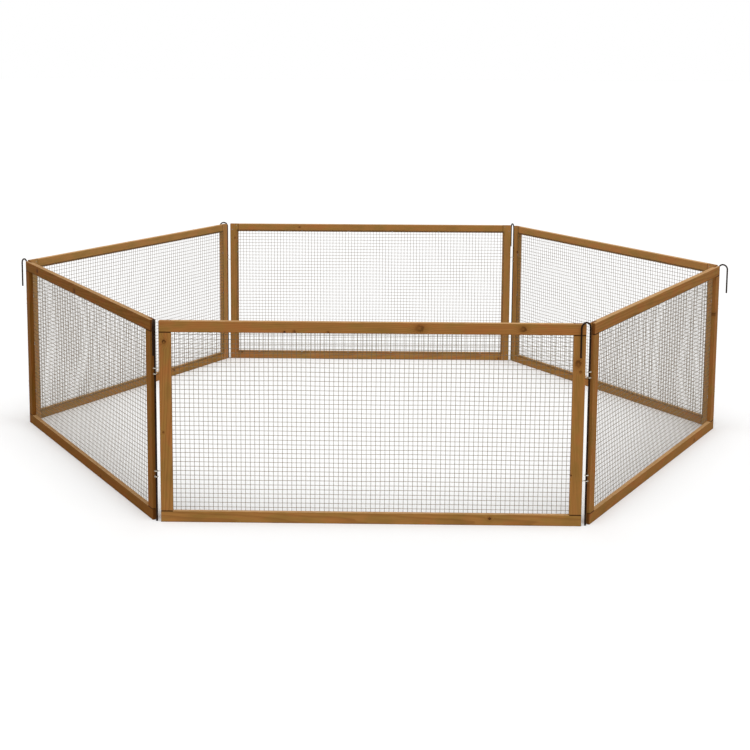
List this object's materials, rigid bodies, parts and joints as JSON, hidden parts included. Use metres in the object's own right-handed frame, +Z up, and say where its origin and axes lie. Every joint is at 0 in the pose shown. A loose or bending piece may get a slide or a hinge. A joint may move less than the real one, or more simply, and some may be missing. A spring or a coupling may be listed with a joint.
{
  "type": "outdoor rabbit run",
  "caption": "Hexagonal free-standing outdoor run for rabbits: stained timber frames with welded wire mesh, joined by screw eyes on crooked steel stakes.",
  "frame": {"origin": "centre of the hexagonal ring, on the ground that it stands on", "axes": "+Z up; -Y towards the front panel; +X to the right as seen from in front, through two opposite corners"},
  "size_m": [2.4001, 2.0987, 0.5688],
  "materials": {
    "stained_timber": "translucent honey brown stain, satin",
    "galvanised_mesh": "dull galvanised",
    "galvanised_staples": "galvanised",
    "brad_steel": "bright steel, slightly dulled",
    "zinc_plated_eyes": "bright zinc plate",
    "stake_steel": "dark drawn steel, satin"
  },
  "bodies": {
    "front_panel": {"front_panel_top_rail": "stained_timber", "front_panel_bottom_rail": "stained_timber", "front_panel_left_stile": "stained_timber", "front_panel_right_stile": "stained_timber", "front_panel_mesh": "galvanised_mesh", "front_panel_mesh_staples": "galvanised_staples", "front_panel_corner_brads": "brad_steel", "front_panel_screw_eyes": "zinc_plated_eyes"},
    "front_right_panel": {"front_right_panel_top_rail": "stained_timber", "front_right_panel_bottom_rail": "stained_timber", "front_right_panel_left_stile": "stained_timber", "front_right_panel_right_stile": "stained_timber", "front_right_panel_mesh": "galvanised_mesh", "front_right_panel_mesh_staples": "galvanised_staples", "front_right_panel_corner_brads": "brad_steel", "front_right_panel_screw_eyes": "zinc_plated_eyes"},
    "back_right_panel": {"back_right_panel_top_rail": "stained_timber", "back_right_panel_bottom_rail": "stained_timber", "back_right_panel_left_stile": "stained_timber", "back_right_panel_right_stile": "stained_timber", "back_right_panel_mesh": "galvanised_mesh", "back_right_panel_mesh_staples": "galvanised_staples", "back_right_panel_corner_brads": "brad_steel", "back_right_panel_screw_eyes": "zinc_plated_eyes"},
    "back_panel": {"back_panel_top_rail": "stained_timber", "back_panel_bottom_rail": "stained_timber", "back_panel_left_stile": "stained_timber", "back_panel_right_stile": "stained_timber", "back_panel_mesh": "galvanised_mesh", "back_panel_mesh_staples": "galvanised_staples", "back_panel_corner_brads": "brad_steel", "back_panel_screw_eyes": "zinc_plated_eyes"},
    "back_left_panel": {"back_left_panel_top_rail": "stained_timber", "back_left_panel_bottom_rail": "stained_timber", "back_left_panel_left_stile": "stained_timber", "back_left_panel_right_stile": "stained_timber", "back_left_panel_mesh": "galvanised_mesh", "back_left_panel_mesh_staples": "galvanised_staples", "back_left_panel_corner_brads": "brad_steel", "back_left_panel_screw_eyes": "zinc_plated_eyes"},
    "front_left_panel": {"front_left_panel_top_rail": "stained_timber", "front_left_panel_bottom_rail": "stained_timber", "front_left_panel_left_stile": "stained_timber", "front_left_panel_right_stile": "stained_timber", "front_left_panel_mesh": "galvanised_mesh", "front_left_panel_mesh_staples": "galvanised_staples", "front_left_panel_corner_brads": "brad_steel", "front_left_panel_screw_eyes": "zinc_plated_eyes"},
    "front_right_stake": {"front_right_stake": "stake_steel"},
    "right_stake": {"right_stake": "stake_steel"},
    "back_right_stake": {"back_right_stake": "stake_steel"},
    "back_left_stake": {"back_left_stake": "stake_steel"},
    "left_stake": {"left_stake": "stake_steel"},
    "front_left_stake": {"front_left_stake": "stake_steel"}
  },
  "joints": [
    {"name": "front_right_fold", "type": "hinge", "parent": "front_panel", "child": "front_right_panel", "pos_m": [0.587, -1.01671, 0.281], "axis": [0, 0, 1], "range_deg": [-24, 30]},
    {"name": "right_fold", "type": "hinge", "parent": "front_right_panel", "child": "back_right_panel", "pos_m": [1.174, 0, 0.281], "axis": [0, 0, 1], "range_deg": [-60, 48]},
    {"name": "back_right_fold", "type": "hinge", "parent": "back_right_panel", "child": "back_panel", "pos_m": [0.587, 1.01671, 0.281], "axis": [0, 0, 1], "range_deg": [-24, 30]},
    {"name": "front_left_fold", "type": "hinge", "parent": "front_panel", "child": "front_left_panel", "pos_m": [-0.587, -1.01671, 0.281], "axis": [0, 0, 1], "range_deg": [-30, 24]},
    {"name": "left_fold", "type": "hinge", "parent": "front_left_panel", "child": "back_left_panel", "pos_m": [-1.174, 0, 0.281], "axis": [0, 0, 1], "range_deg": [-48, 60]},
    {"name": "front_right_stake_lift", "type": "slide", "parent": "front_panel", "child": "front_right_stake", "axis": [0, 0, 1], "range_m": [0, 0.45]},
    {"name": "right_stake_lift", "type": "slide", "parent": "front_right_panel", "child": "right_stake", "axis": [0, 0, 1], "range_m": [0, 0.45]},
    {"name": "back_right_stake_lift", "type": "slide", "parent": "back_panel", "child": "back_right_stake", "axis": [0, 0, 1], "range_m": [0, 0.45]},
    {"name": "back_left_stake_lift", "type": "slide", "parent": "back_left_panel", "child": "back_left_stake", "axis": [0, 0, 1], "range_m": [0, 0.45]},
    {"name": "left_stake_lift", "type": "slide", "parent": "back_left_panel", "child": "left_stake", "axis": [0, 0, 1], "range_m": [0, 0.45]},
    {"name": "front_left_stake_lift", "type": "slide", "parent": "front_panel", "child": "front_left_stake", "axis": [0, 0, 1], "range_m": [0, 0.45]}
  ],
  "couplings": [
    {"joint": "right_fold", "follows": "front_right_fold", "ratio": -2},
    {"joint": "back_right_fold", "follows": "front_right_fold", "ratio": 1},
    {"joint": "front_left_fold", "follows": "front_right_fold", "ratio": -1},
    {"joint": "left_fold", "follows": "front_right_fold", "ratio": 2}
  ]
}
